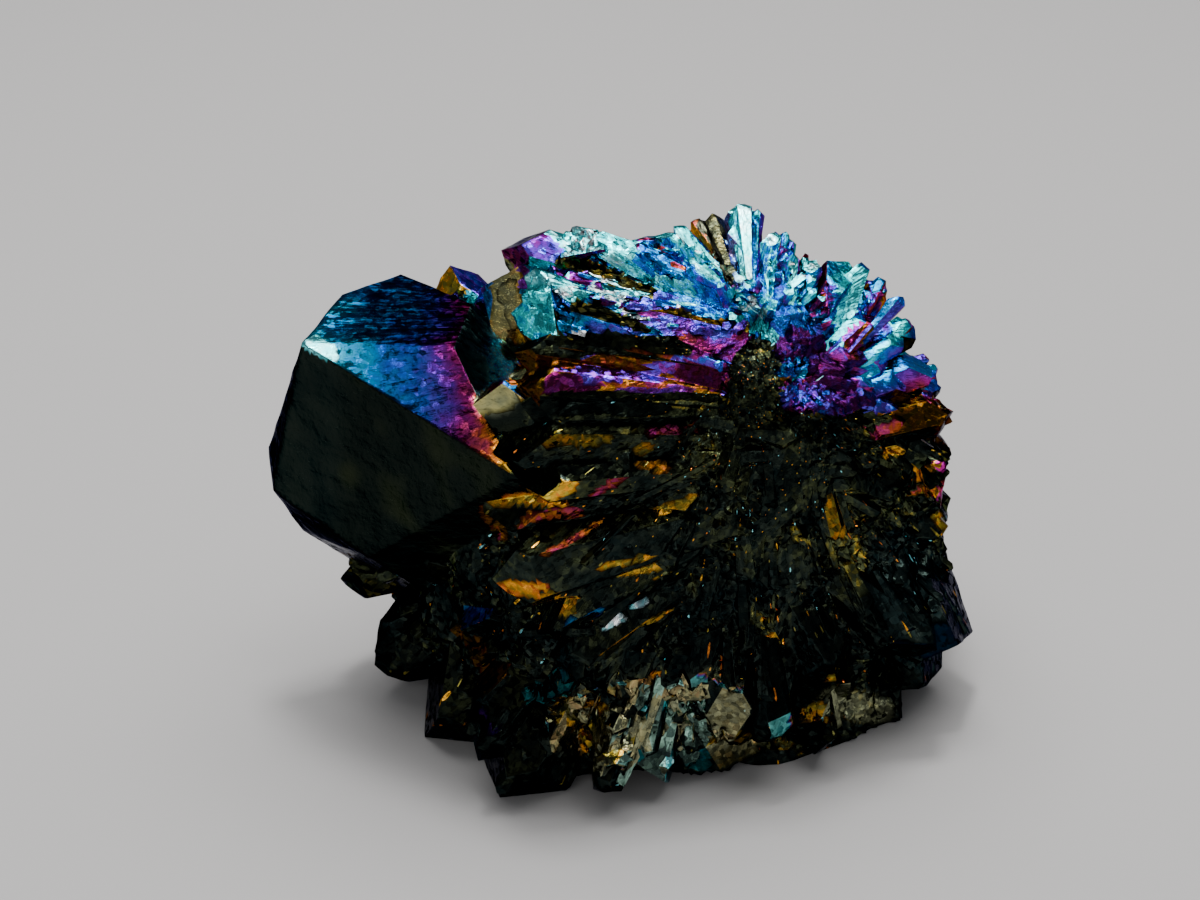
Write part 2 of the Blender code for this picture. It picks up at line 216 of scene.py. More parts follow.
def back_share(p, n):
    """Small crystals between the large ones of the back and the left side."""
    behind = smooth(0.0, 3.0, p.y) * smooth(-0.2, 0.2, n.y)
    left = smooth(-8.0, -11.0, p.x) * smooth(14.0, 11.0, p.z)
    on_point = smooth(-11.0, -13.0, p.x) * smooth(11.0, 14.0, p.z)
    return max(behind, left) * (1 - on_point) * smooth(1.5, 3.0, p.z) * smooth(33.0, 30.0, p.z)


# The fan's petals and the broad crystals near them: name, root and tip in the front view in
# millimetres, width, how flat they are, roll in degrees, film, and brightness. The brightness is
# painted light: the whitest, brightest petals carry painted highlights.
PETALS = (
    ("blue_petal", (9.2, 11.0), (4.8, 15.4), 2.5, 0.55, -8, 0.93, 1.20),
    ("blue_petal_foot", (9.6, 10.6), (8.1, 13.0), 1.2, 0.7, 10, 0.93, 1.20),
    ("pink_petal", (8.8, 13.2), (6.4, 16.4), 1.4, 0.7, -30, 0.42, 0.90),
    ("olive_petal", (9.4, 12.0), (8.0, 16.8), 1.9, 0.6, 15, 0.19, 0.60),
    ("tall_side", (10.9, 12.0), (11.1, 17.1), 1.5, 0.8, 30, 0.76, 0.80),
    ("tall_petal", (10.2, 11.8), (9.7, 17.5), 2.3, 0.7, -12, 0.92, 1.30),
    ("white_petal", (11.7, 10.4), (12.1, 15.5), 1.7, 0.6, -10, 0.92, 1.20),
    ("pale_petal", (13.1, 11.4), (13.6, 15.3), 1.8, 0.6, 12, 0.86, 1.00),
    ("white_lens", (13.4, 10.6), (13.5, 13.8), 1.2, 0.7, 0, 0.93, 1.20),
    ("thin_white", (14.5, 10.4), (15.3, 13.7), 0.9, 0.8, -10, 0.93, 1.30),
    ("thin_violet", (15.9, 10.0), (16.3, 13.5), 0.9, 0.8, 20, 0.60, 0.80),
    ("teal_petal", (17.0, 8.2), (18.1, 13.8), 3.2, 0.5, 8, 0.86, 0.80),
    ("azure_petal", (17.7, 8.0), (20.2, 12.4), 1.2, 0.7, -15, 0.74, 0.90),
    ("blue_tip", (18.4, 7.5), (21.4, 11.0), 1.6, 0.7, 15, 0.72, 0.90),
    ("brown_petal", (17.4, 6.9), (19.2, 9.0), 1.0, 0.7, -35, 0.60, 0.40),
    ("teal_right", (19.3, 6.3), (22.0, 9.7), 2.0, 0.6, 10, 0.82, 0.90),
    ("white_right", (19.1, 6.0), (21.4, 8.7), 1.1, 0.7, 0, 0.93, 1.20),
    ("cyan_petal", (18.8, 5.2), (24.4, 6.0), 2.3, 0.6, 10, 0.78, 1.10),
)
PETAL_SINK = 0.12
PETAL_ROOT = 0.35
PETAL_STEPS = 10
FAR = 100.0

# How far a small crystal is sunk, as a share of its length and of its thickness.
SUNK_LENGTH = 0.5
SUNK_THICKNESS = 0.25

# Kinds of small crystal: where they grow, how many, thickness, length, how steeply they rise
# from the surface in degrees, pointing away from the hub, and how far a tip may stand clear.
SMALL_CRYSTALS = (
    ("fan", fan_share, 90, (0.6, 1.4), (1.6, 3.4), (8, 30), 0.8),
    ("shelf", shelf_share, 130, (0.5, 1.4), (2.0, 4.6), (2, 13), 0.6),
    ("druse", druse_share, 80, (1.4, 3.2), (1.6, 3.0), (5, 35), 0.8),
    ("front", front_share, 190, (0.7, 2.0), (4.0, 9.0), (0, 6), 0.35),
    ("rim", rim_share, 50, (0.8, 1.8), (2.0, 3.4), (8, 30), 0.8),
    ("back", back_share, 260, (0.9, 2.6), (2.2, 4.4), (25, 70), 0.9),
)


def front_point(surface, places):
    """The first of some places in the front view, taken as deep as the surface seen near it."""
    for across, up in places:
        beside = VIEW_CENTRE + Vector((across, 0.0, 0.0)) + VIEW_UP * up
        hit = surface.ray_cast(beside + TO_VIEWER * FAR, -TO_VIEWER)[0]
        if hit:
            depth = (hit - VIEW_CENTRE).dot(TO_VIEWER)
            across, up = places[0]
            return VIEW_CENTRE + Vector((across, 0.0, 0.0)) + VIEW_UP * up + TO_VIEWER * depth
    return None


def petals(solid_bm, collection):
    """Sets the broad crystals of the fan on the solid, each with a flat side to the light."""
    rng = random.Random(SEED)
    surface = BVHTree.FromBMesh(solid_bm)
    for name, root, tip, width, flatness, roll, _, _ in PETALS:
        inwards = np.array(root) - tip
        inward = [np.array(tip) + inwards * step / PETAL_STEPS for step in range(PETAL_STEPS)]
        root_point = front_point(surface, [root])
        tip_point = front_point(surface, inward)
        axis = (tip_point - root_point).normalized()
        flat = (LIT_DIRECTION - axis * LIT_DIRECTION.dot(axis)).normalized()
        flat.rotate(Quaternion(axis, math.radians(roll)))
        length = (tip_point - root_point).length
        bm = quartz_bmesh(length, width, flatness, rng.uniform(0, 0.4), rng, PETAL_ROOT)
        turn = Matrix((flat.cross(axis), flat, axis)).transposed().to_4x4()
        bm.transform(Matrix.Translation(root_point - flat * width * PETAL_SINK) @ turn)
        add_object(name, bm, collection)


def random_place(face, rng):
    """A point anywhere on a triangle."""
    a, b, c = (v.co for v in face.verts)
    s, t = rng.random(), rng.random()
    if s + t > 1:
        s, t = 1 - s, 1 - t
    return a + (b - a) * s + (c - a) * t


def small_crystals(solid_bm, collection):
    """Sets every kind of small crystal on the solid."""
    rng = random.Random(SEED)
    low, high = (Vector(corner) / MM for corner in cad_box)
    surface = BVHTree.FromBMesh(solid_bm)
    for name, share, count, thicknesses, lengths, rises, clearance in SMALL_CRYSTALS:
        weights = [f.calc_area() * share(f.calc_center_median(), f.normal) for f in solid_bm.faces]
        for i, face in enumerate(rng.choices(solid_bm.faces[:], weights, k=count)):
            p = random_place(face, rng)
            thickness = rng.uniform(*thicknesses)
            length = rng.uniform(*lengths)
            rise = math.radians(rng.uniform(*rises))
            away = p - HUB
            along = (away - face.normal * away.dot(face.normal)).normalized()
            axis = along * math.cos(rise) + face.normal * math.sin(rise)
            root = p - axis * length * SUNK_LENGTH - face.normal * thickness * SUNK_THICKNESS
            tip = root + axis * length
            inside = all(a < t < b for a, t, b in zip(low, tip, high))
            clear = surface.find_nearest(tip)[3]
            if not inside or tip.z < thickness or clear > clearance:
                continue
            bm = quartz_bmesh(length, thickness, rng.uniform(0.6, 1), rng.uniform(0, 0.5), rng)
            roll = Matrix.Rotation(rng.uniform(0, math.tau), 4, "Z")
            turn = axis.to_track_quat("Z", "Y").to_matrix().to_4x4()
            bm.transform(Matrix.Translation(root) @ turn @ roll)
            add_object(f"{name}_{i:03d}", bm, collection)


def add_object(name, bm, collection):
    """Makes an object of a mesh and ends the mesh's editing."""
    made = bpy.data.meshes.new(name)
    bm.to_mesh(made)
    bm.free()
    thing = bpy.data.objects.new(name, made)
    collection.objects.link(thing)
    return thing


def solid_bmesh():
    """A copy of the solid, in millimetres."""
    source = frame["nodes"][NODE]
    bm = bmesh.new()
    bm.from_mesh(source.data)
    bm.transform(Matrix.Scale(1 / MM, 4) @ source.matrix_world)
    bmesh.ops.remove_doubles(bm, verts=bm.verts[:], dist=WELD)
    bmesh.ops.triangulate(bm, faces=bm.faces[:])
    return bm


def keep_outer_shell(bm):
    """Deletes the few closed bubbles that crystals shut in between them."""
    shells = []
    left = set(bm.verts)
    while left:
        shell = {left.pop()}
        waiting = list(shell)
        while waiting:
            vert = waiting.pop()
            near = {edge.other_vert(vert) for edge in vert.link_edges} - shell
            shell |= near
            waiting.extend(near)
        left -= shell
        shells.append(shell)
    outer = max(shells, key=len)
    spare = [v for v in bm.verts if v not in outer]
    bmesh.ops.delete(bm, geom=spare, context="VERTS")


def add_collection(name):
    """A new collection in the scene."""
    made = bpy.data.collections.new(name)
    bpy.context.scene.collection.children.link(made)
    return made


def grown_cluster():
    """The solid with its small crystals grown on, as one closed mesh."""
    growing = add_collection("growing")
    small = add_collection("small_crystals")
    bm = solid_bmesh()
    small_crystals(bm, small)
    petals(bm, small)
    base = add_object("growing_base", bm, growing)
    union = base.modifiers.new("grown_together", "BOOLEAN")
    union.operation = "UNION"
    union.operand_type = "COLLECTION"
    union.collection = small
    union.solver = "MANIFOLD"
    evaluated = base.evaluated_get(bpy.context.evaluated_depsgraph_get())
    result = bmesh.new()
    result.from_mesh(evaluated.to_mesh())
    evaluated.to_mesh_clear()
    for thing in [*small.objects, base]:
        spare = thing.data
        bpy.data.objects.remove(thing)
        bpy.data.meshes.remove(spare)
    bpy.data.collections.remove(small)
    bpy.data.collections.remove(growing)
    keep_outer_shell(result)
    return result


# --- facets ------------------------------------------------------------------------------------


def facets(bm):
    """Numbers the planes of the mesh. Returns each face's plane number and each plane's area."""
    bm.faces.ensure_lookup_table()
    bm.faces.index_update()
    number = [-1] * len(bm.faces)
    areas = []
    for start in bm.faces:
        if number[start.index] >= 0:
            continue
        plane = len(areas)
        number[start.index] = plane
        area = 0.0
        waiting = [start]
        while waiting:
            face = waiting.pop()
            area += face.calc_area()
            for other in (f for edge in face.edges for f in edge.link_faces):
                turn = other.normal.angle(start.normal, NO_ANGLE)
                if number[other.index] < 0 and turn < PLANE_ANGLE:
                    number[other.index] = plane
                    waiting.append(other)
        areas.append(area)
    return number, areas


def rocky_faces(bm, number, areas):
    """True for each face of the broken rock: small planes that meet at shallow angles."""
    shallow = [set() for _ in areas]
    for edge in bm.edges:
        if len(edge.link_faces) != 2:
            continue
        a, b = (number[f.index] for f in edge.link_faces)
        if a == b:
            continue
        small = areas[a] < ROCK_FACET_AREA and areas[b] < ROCK_FACET_AREA
        if small and edge.calc_face_angle(NO_ANGLE) < ROCK_ANGLE:
            shallow[a].add(b)
            shallow[b].add(a)
    return [len(shallow[n]) >= ROCK_NEIGHBOURS for n in number]


def label_facets(bm):
    """Stores on each face its plane, the plane's middle and area, and whether it is rock."""
    number, areas = facets(bm)
    rocky = rocky_faces(bm, number, areas)
    plane = bm.faces.layers.int.new("plane")
    rock = bm.faces.layers.float.new("rock")
    area = bm.faces.layers.float.new("area")
    middle = bm.faces.layers.float_vector.new("middle")
    normal = bm.faces.layers.float_vector.new("plane_normal")
    middles = [Vector() for _ in areas]
    for face in bm.faces:
        middles[number[face.index]] += face.calc_center_median() * face.calc_area()
    for face in bm.faces:
        n = number[face.index]
        face[plane] = n
        face[rock] = float(rocky[face.index])
        face[area] = areas[n]
        face[middle] = middles[n] / max(areas[n], NO_AREA)
        face[normal] = face.normal


# --- the fine mesh -----------------------------------------------------------------------------


def finest_edge(edge, rock):
    """How long an edge may stay, from where it is and what it lies on."""
    p = (edge.verts[0].co + edge.verts[1].co) / 2
    if p.z < REST_HEIGHT:
        return UNDER_EDGE
    if p.y < FINE_ROCK_DEPTH and any(f[rock] > 0.5 for f in edge.link_faces):
        return ROCK_EDGE
    seen = any(f.normal.dot(TO_VIEWER) > -0.05 for f in edge.link_faces)
    return FRONT_EDGE if seen and view_height(p) > LOWEST_SEEN else BACK_EDGE


def triangulate(bm, faces):
    """Cuts faces into triangles by the way that leaves the cleanest mesh in narrow crevices."""
    bmesh.ops.triangulate(bm, faces=faces, quad_method="SHORT_EDGE", ngon_method="EAR_CLIP")


def refine(bm):
    """Splits every long edge until the mesh is fine enough to carry the broken rock."""
    triangulate(bm, bm.faces[:])
    rock = bm.faces.layers.float["rock"]
    for factor in REFINE_STEPS:
        for _ in range(2):
            long_edges = [e for e in bm.edges if e.calc_length() > factor * finest_edge(e, rock)]
            if long_edges:
                bmesh.ops.subdivide_edges(bm, edges=long_edges, cuts=1)
                triangulate(bm, [f for f in bm.faces if len(f.verts) > 3])


# --- broken rock and growth lines --------------------------------------------------------------

# Layers of shards: how many lie round the hub, how long each is, and how steeply it leans.
SHARDS = ((22.0, 9.0, 0.60), (50.0, 5.0, 0.28))
CELL_SPREAD = 7.3
PIT_HEIGHT = 0.10
PITS_PER_MM = 1.7

# Lines along the crystals: how many lie round the hub, how much they change on the way out.
LINES_AROUND = 26.0
LINE_CHANGE = 0.15
LINE_HEIGHT = 0.05
WAVES_PER_MM = 0.6
WAVE_HEIGHT = 0.07


def shard_height(p, across, along, tilt):
    """Height of the broken surface: long cells that point away from the hub, each one tilted."""
    away = p - HUB
    ray = away.normalized()
    q = ray * (across + away.length / along)
    centre = noise.voronoi(q)[1][0]
    slope = noise.cell_vector(centre * CELL_SPREAD)
    return tilt * slope.dot(q - centre)


def surface_height(p, rock):
    """How far the surface stands out: broken shards on rock, growth lines on crystals."""
    away = p - HUB
    ray = away.normalized()
    line = noise.noise(ray * LINES_AROUND + ray * away.length * LINE_CHANGE)
    wave = noise.noise(p * WAVES_PER_MM)
    height = LINE_HEIGHT * line + WAVE_HEIGHT * wave
    if rock > ANY_ROCK:
        broken = sum(shard_height(p, *shard) for shard in SHARDS)
        pits = PIT_HEIGHT * noise.noise(p * PITS_PER_MM)
        height = (1 - rock) * height + rock * (broken + pits)
    return height


def displace(bm):
    """Moves every vertex along its normal by the height of the surface there."""
    rock = bm.faces.layers.float["rock"]
    bm.normal_update()
    moves = []
    for v in bm.verts:
        share = sum(f[rock] for f in v.link_faces) / len(v.link_faces)
        moves.append(v.normal * surface_height(v.co, share))
    for v, move in zip(bm.verts, moves):
        if v.co.z < REST_HEIGHT:
            continue
        v.co += move
        v.co.z = max(v.co.z, 0.0)


# --- the film's colours ------------------------------------------------------------------------

# The large point: its extent, the film's place on the colour scale and the brightness across its top
# facets, the film of the facet beyond them, its dark front and the crease down it. The brightness
# across the top is painted light, highest as a painted highlight at the apex end, and the dark front
# is painted shade.
POINT_RIGHT = -7.8
POINT_MARGIN = 1.9
POINT_LOW = 12.6
POINT_HIGH = 32.3
POINT_FACET_AREA = 9.0
POINT_TOP_ACROSS = (-23.5, -18.5, -15.0, -13.0, -11.3, -10.0, -8.5)
POINT_TOP_FILM = (0.80, 0.71, 0.65, 0.55, 0.43, 0.36, 0.29)
POINT_TOP_GLOW = (0.70, 0.11, 0.08, 0.07, 0.04, 0.07, 0.35)
POINT_FAR_FILM = 0.80
POINT_FRONT_FILM = 0.10
POINT_FRONT_GLOW = 0.34
POINT_FRONT_CREASE = -17.2
CREASE_WIDTH = 2.5
CREASE_LEAN = 0.12
POINT_SIDE_PALE = 0.5

# The front view's picture: its middle, which shows the view's centre, and its scale.
PICTURE_MIDDLE = (600, 450)
PIXELS_PER_MM = 13.9

# Facets of the front that catch the light, and dark places between them, as strokes in the front
# view's picture: name, start and end as pixel coordinates, half width in pixels, film, and
# brightness. The brightness is painted light: bright strokes are painted highlights and glints, and
# the darkest are painted shade, such as in gaps, grooves and under the shelf, the blade and the fan.
STROKES = (
    ("apex_glint", (304, 336), (336, 354), 10, 0.92, 1.20),
    ("behind_yellow", (443, 278), (461, 289), 11, 0.25, 1.00),
    ("behind_violet", (467, 272), (480, 297), 10, 0.57, 0.80),
    ("violet_block", (503, 258), (540, 242), 18, 0.56, 0.30),
    ("block_top", (528, 248), (546, 255), 12, 0.56, 0.28),
    ("block_edge", (518, 272), (526, 288), 10, 0.47, 0.20),
    ("olive_end", (509, 280), (508, 330), 15, 0.23, 1.10),
    ("olive_end_foot", (512, 300), (520, 322), 12, 0.23, 1.00),
    ("block_teal", (532, 262), (545, 274), 6, 0.84, 0.25),
    # Painted highlights along the shelf's white ridge.
    ("white_ridge", (555, 241), (600, 250), 17, 0.91, 1.50),
    ("white_ridge_end", (600, 250), (644, 282), 14, 0.91, 1.50),
    ("ridge_teal", (612, 252), (625, 256), 8, 0.88, 0.80),
    ("ridge_azure", (648, 262), (700, 298), 16, 0.68, 0.80),
    ("ridge_mint", (650, 286), (668, 292), 7, 0.90, 1.00),
    ("ridge_copper", (657, 252), (684, 280), 3, 0.37, 0.60),
    # Painted shade in the groove under the ridge.
    ("ridge_groove", (552, 266), (598, 278), 9, 0.20, 0.10),
    ("ridge_groove_end", (598, 278), (648, 304), 8, 0.20, 0.10),
    ("groove_magenta", (560, 278), (600, 294), 4, 0.50, 0.45),
    ("shelf_glitter", (539, 287), (576, 298), 12, 0.90, 1.10),
    ("teal_facet", (536, 300), (550, 328), 9, 0.85, 0.80),
    ("blue_facet", (550, 306), (590, 334), 9, 0.68, 0.40),
    ("blue_facet_low", (561, 328), (586, 330), 8, 0.70, 0.28),
    # Painted shade in the gap between the shelf's facets.
    ("shelf_gap_shade", (578, 314), (640, 336), 7, 0.20, 0.06),
    ("shelf_white", (560, 300), (578, 298), 4, 1.00, 1.30),
    ("shelf_white_mid", (606, 300), (620, 304), 5, 1.00, 1.20),
    ("shelf_pink", (640, 314), (656, 306), 6, 0.58, 1.30),
    ("shelf_blue_edge", (590, 334), (660, 346), 4, 0.62, 0.60),
    ("shelf_cyan_edge", (640, 346), (670, 344), 3, 0.94, 1.20),
    ("shelf_brown", (656, 320), (716, 326), 7, 0.25, 0.07),
    ("hub_white", (690, 300), (758, 312), 9, 0.96, 1.15),
    ("hub_teal", (738, 326), (768, 338), 9, 0.86, 0.55),
    ("hub_flecks", (775, 318), (797, 333), 15, 0.64, 0.45),
    ("hub_violet", (664, 338), (740, 332), 6, 0.56, 0.60),
    ("hub_magenta", (684, 358), (738, 346), 7, 0.47, 0.35),
    # Painted shade under the shelf.
    ("shelf_underside_shade", (512, 352), (676, 352), 11, 0.12, 0.10),
    ("brown_patch", (516, 338), (544, 344), 6, 0.26, 0.30),
    ("blade_top", (545, 372), (640, 360), 7, 0.34, 0.15),
    ("blade_gold", (620, 364), (672, 362), 3, 0.30, 0.45),
    ("blade_crown", (553, 381), (665, 372), 12, 0.33, 0.16),
    ("magenta_blade", (550, 389), (592, 386), 11, 0.45, 0.24),
    ("violet_blade", (590, 382), (672, 370), 7, 0.53, 1.00),
    ("blade_end", (682, 376), (713, 385), 12, 0.44, 0.10),
    ("blade_root", (528, 372), (536, 392), 12, 0.30, 0.08),
    ("violet_ridge", (618, 396), (684, 394), 4, 0.50, 0.40),
    # Painted shade under the blade.
    ("under_blade_shade", (558, 399), (711, 400), 4, 0.14, 0.12),
    ("black_slab", (536, 410), (640, 408), 8, 0.06, 0.25),
    ("pale_chip", (524, 381), (536, 371), 4, 0.20, 0.80),
    ("tip_olive", (490, 404), (506, 404), 13, 0.21, 1.00),
    ("tip_blue", (506, 386), (522, 398), 9, 0.68, 0.30),
    ("tip_gold", (517, 406), (524, 405), 4, 0.27, 1.20),
    ("slab_sheen", (550, 437), (606, 438), 9, 0.25, 0.30),
    ("red_fleck", (652, 433), (690, 422), 4, 0.40, 0.06),
    ("gold_fleck", (636, 450), (644, 448), 5, 0.26, 0.55),
    ("orange_fleck", (630, 464), (644, 468), 6, 0.31, 0.03),
    # Painted highlight on the gold wedge.
    ("gold_wedge", (514, 500), (562, 496), 9, 0.285, 2.40),
    ("gold_wedge_end", (562, 496), (582, 481), 7, 0.28, 2.20),
    ("wedge_red", (526, 514), (578, 508), 7, 0.36, 0.45),
    ("wedge_brown", (489, 508), (504, 530), 9, 0.32, 0.13),
    ("wedge_pink", (600, 490), (616, 478), 3, 0.38, 0.55),
    ("wedge_streak", (548, 548), (602, 520), 3, 0.36, 0.25),
    ("orange_edge", (510, 577), (548, 579), 4, 0.31, 0.80),
    ("yellow_facet", (548, 590), (584, 592), 7, 0.25, 0.60),
    ("gold_streak", (602, 562), (648, 554), 3, 0.27, 0.80),
    ("green_streak", (604, 576), (668, 568), 3, 0.24, 0.80),
    ("streak_white", (658, 569), (668, 566), 3, 0.20, 1.20),
    ("far_gold", (658, 508), (682, 500), 4, 0.26, 0.55),
    # Painted glints.
    ("white_sparkle", (606, 618), (616, 614), 4, 1.00, 1.40),
    ("white_sparkle_up", (634, 602), (642, 600), 4, 1.00, 1.30),
    ("low_gold", (636, 624), (650, 620), 4, 0.26, 0.50),
    ("low_orange", (642, 674), (656, 670), 4, 0.29, 0.55),
    ("olive_patch", (838, 538), (862, 572), 17, 0.168, 0.90),
    ("olive_patch_top", (852, 536), (862, 566), 6, 0.19, 1.00),
    ("olive_streak", (788, 528), (804, 546), 4, 0.19, 0.8),
    ("gold_patch", (880, 554), (908, 545), 6, 0.26, 0.75),
    ("gold_dot", (822, 510), (840, 522), 5, 0.26, 0.40),
    ("mid_olive", (752, 616), (790, 632), 9, 0.17, 0.60),
    ("mid_gold", (768, 634), (780, 638), 4, 0.27, 0.90),
    ("rim_green", (908, 538), (922, 546), 8, 0.19, 0.34),
    ("pink_tip", (936, 464), (948, 466), 5, 0.44, 1.10),
    ("pink_tip_low", (938, 492), (950, 490), 5, 0.41, 1.10),
    ("tip_orange", (916, 472), (936, 466), 4, 0.29, 0.75),
    ("tip_orange_low", (914, 491), (938, 489), 4, 0.28, 0.80),
    ("olive_gold_tip", (944, 514), (950, 528), 6, 0.25, 0.70),
    ("rim_sparkle", (900, 629), (907, 626), 4, 0.29, 1.00),
    ("brown_blade", (884, 402), (952, 434), 18, 0.31, 0.10),
    ("blade_fleck", (908, 412), (928, 404), 4, 0.36, 0.60),
    ("blade_fleck_low", (868, 434), (900, 424), 4, 0.37, 0.70),
    ("yellow_fleck", (882, 451), (890, 450), 5, 0.25, 1.00),
    ("knob", (749, 369), (747, 408), 29, 0.11, 0.30),
    # Painted shade inside the fan and under it.
    ("inner_shade", (786, 352), (858, 372), 22, 0.50, 0.14),
    ("under_fan_shade", (788, 400), (871, 394), 18, 0.50, 0.18),
    ("violet_patch", (784, 398), (812, 400), 12, 0.55, 0.55),
    ("violet_patch_right", (816, 408), (832, 412), 8, 0.54, 0.30),
    ("blue_patch", (776, 374), (794, 366), 9, 0.66, 0.50),
    ("violet_glint", (862, 408), (882, 406), 5, 0.58, 1.00),
    ("violet_flecks", (860, 392), (880, 386), 8, 0.56, 0.45),
    ("dark_lump", (906, 568), (948, 644), 50, 0.02, 1.10),
    ("lump_teal", (900, 636), (956, 648), 13, 0.70, 0.02),
    ("olive_lobe", (830, 700), (888, 720), 20, 0.16, 0.75),
    ("druse_teal", (530, 692), (566, 682), 12, 0.85, 0.05),
    ("druse_beige", (566, 704), (592, 744), 18, 0.24, 0.42),
    ("druse_gold", (574, 700), (604, 704), 5, 0.28, 0.45),
    ("druse_green", (612, 746), (644, 730), 8, 0.22, 0.75),
    ("druse_mint", (650, 704), (668, 716), 8, 0.88, 0.50),
    ("druse_streak", (656, 696), (690, 686), 5, 0.27, 0.45),
    ("druse_dark", (610, 712), (634, 708), 7, 0.08, 0.20),
    ("foot_teal", (640, 752), (700, 762), 8, 0.84, 0.14),
    ("foot_sparkle", (658, 762), (668, 761), 4, 0.96, 1.30),
    ("green_rim", (722, 730), (800, 756), 9, 0.22, 0.55),
    ("rim_glint", (716, 738), (724, 746), 5, 0.25, 1.20),
    ("olive_stub", (342, 562), (376, 602), 17, 0.19, 0.22),
    ("side_brown", (465, 630), (494, 672), 12, 0.30, 0.05),
    ("side_blue", (472, 612), (480, 614), 6, 0.66, 0.10),
    ("side_violet", (474, 700), (493, 722), 7, 0.54, 0.04),
)

# Specks finer than those, painted glints: name, start and end as pixel coordinates, half width in
# millimetres, film, and brightness.
SPECKS = (
    ("blue_sparkle", (586, 604), (602, 606), 0.35, 0.69, 0.30),
    ("lobe_gold", (830, 678), (838, 676), 0.25, 0.25, 0.90),
    ("lobe_orange", (812, 714), (826, 726), 0.25, 0.29, 0.50),
)

# Smooth facets whose film is a dull, greyer olive, and how much paler they are.
DULL_PLACES = (
    "olive_end",
    "olive_end_foot",
    "tip_olive",
    "pale_chip",
    "olive_petal",
    "olive_lobe",
)
DULL_PALE = 0.35

# The druse at the foot of the front: its centre and reach in the front view, how much paler it
# is, and which of its random tones are teal and which are left dark.
DRUSE_CENTRE = (4.6, -19.4)
DRUSE_REACH = (9.5, 3.8)
DRUSE_PALE = 0.65
DRUSE_TEAL_TONE = 0.22
DRUSE_DARK_TONE = -0.2

# Film below this is dark, and brightness above this isn't stored.
DARK_FILM = 0.3
BRIGHTEST = 1.5

# A mark changes the film of a face where it covers more than this share of it. Its border wavers
# by this much for each unit of noise.
WHOLE_FACE_SHARE = 0.3
BORDER_WAVER = 0.25

# Petals lose film on the sides that turn from the light, and along their rims: a painted falloff
# from each petal's painted highlight, whose rims are also painted darker.
PETAL_EDGE_DROP = 0.16
PETAL_RIM_DROP = 0.24

# How fast the film's colour drifts along the surface, slowly and finely.
DRIFTS_PER_MM = 0.35
GRAINS_PER_MM = 1.6


def face_values(mesh, name, width):
    """A stored value of every face, as numbers or as rows of three."""
    values = np.empty(len(mesh.polygons) * width)
    mesh.attributes[name].data.foreach_get("vector" if width == 3 else "value", values)
    return values.reshape(-1, width) if width == 3 else values


def soft_noise(places, per_mm):
    """Smooth noise at every place."""
    return np.array([noise.noise(Vector(place) * per_mm) for place in places])


class Corners:
    """What is known at every face corner.

    Its place, and slow and fine noise there (drift, grain); its facet's middle, area and normal,
    how rocky that is, two random numbers of the facet's own (tone, glow), how squarely it meets
    the light and the viewer (lit, facing); and where it stands in the front view (across, up).
    """

    def __init__(self, mesh):
        count = len(mesh.polygons)
        face = np.repeat(np.arange(count), 3)
        self.read_places(mesh)
        self.read_facets(mesh, face)
        plane = np.empty(count, dtype=np.int32)
        mesh.attributes["plane"].data.foreach_get("value", plane)
        tone, glow = np.random.default_rng(SEED).random((2, plane.max() + 1))
        self.tone, self.glow = tone[plane][face] - 0.5, glow[plane][face]

        # Small facets take one colour, larger ones and the rock change across their surface.
        hold = 0.75 * smooth(14.0, 7.0, self.area) * (1 - self.rock)
        held = self.place + (self.middle - self.place) * hold[:, None]
        from_centre = held - np.array(VIEW_CENTRE)
        self.across = from_centre[:, 0]
        self.up = from_centre @ np.array(VIEW_UP)

    def read_places(self, mesh):
        vertex = np.empty(len(mesh.loops), dtype=np.int32)
        mesh.loops.foreach_get("vertex_index", vertex)
        places = np.empty(len(mesh.vertices) * 3)
        mesh.vertices.foreach_get("co", places)
        places = places.reshape(-1, 3)
        self.place = places[vertex]
        self.drift = soft_noise(places, DRIFTS_PER_MM)[vertex]
        self.grain = soft_noise(places, GRAINS_PER_MM)[vertex]

    def read_facets(self, mesh, face):
        fine_normal = np.empty(len(mesh.polygons) * 3)
        mesh.polygons.foreach_get("normal", fine_normal)
        fine_normal = fine_normal.reshape(-1, 3)
        plane_normal = face_values(mesh, "plane_normal", 3)
        rock = face_values(mesh, "rock", 1)
        self.normal = (plane_normal * (1 - rock)[:, None] + fine_normal * rock[:, None])[face]
        self.rock = rock[face]
        self.area = face_values(mesh, "area", 1)[face]
        self.middle = face_values(mesh, "middle", 3)[face]
        self.lit = self.normal @ np.array(LIT_DIRECTION)
        self.facing = self.normal @ np.array(TO_VIEWER)


def upper_coat(at):
    """Film and brightness of the fan and the shelf: violet to pale cyan, painted bright where lit.
    """
    film = 0.45 + 0.22 * smooth(3.0, 9.0, at.up) + 0.16 * (smooth(0.2, 0.9, at.lit) - 0.5)
    film += 0.40 * at.tone + 0.10 * at.drift + 0.05 * at.grain
    # Painted highlight: lit facets with a high glow are painted whiter.
    film += 0.30 * smooth(0.7, 0.95, at.glow) * smooth(0.5, 0.9, at.lit)
    film -= 0.16 * smooth(0.4, 0.1, at.glow)
    # Painted light and shade: bright where facets face the light, near black where they turn away,
    # and brighter towards the left, on the shelf.
    value = 0.03 + 1.1 * smooth(0.2, 0.9, at.lit) * (0.12 + 0.88 * smooth(0.1, 0.8, at.glow))
    value *= 1 + 0.5 * smooth(9.0, 5.0, at.across)
    return film, value


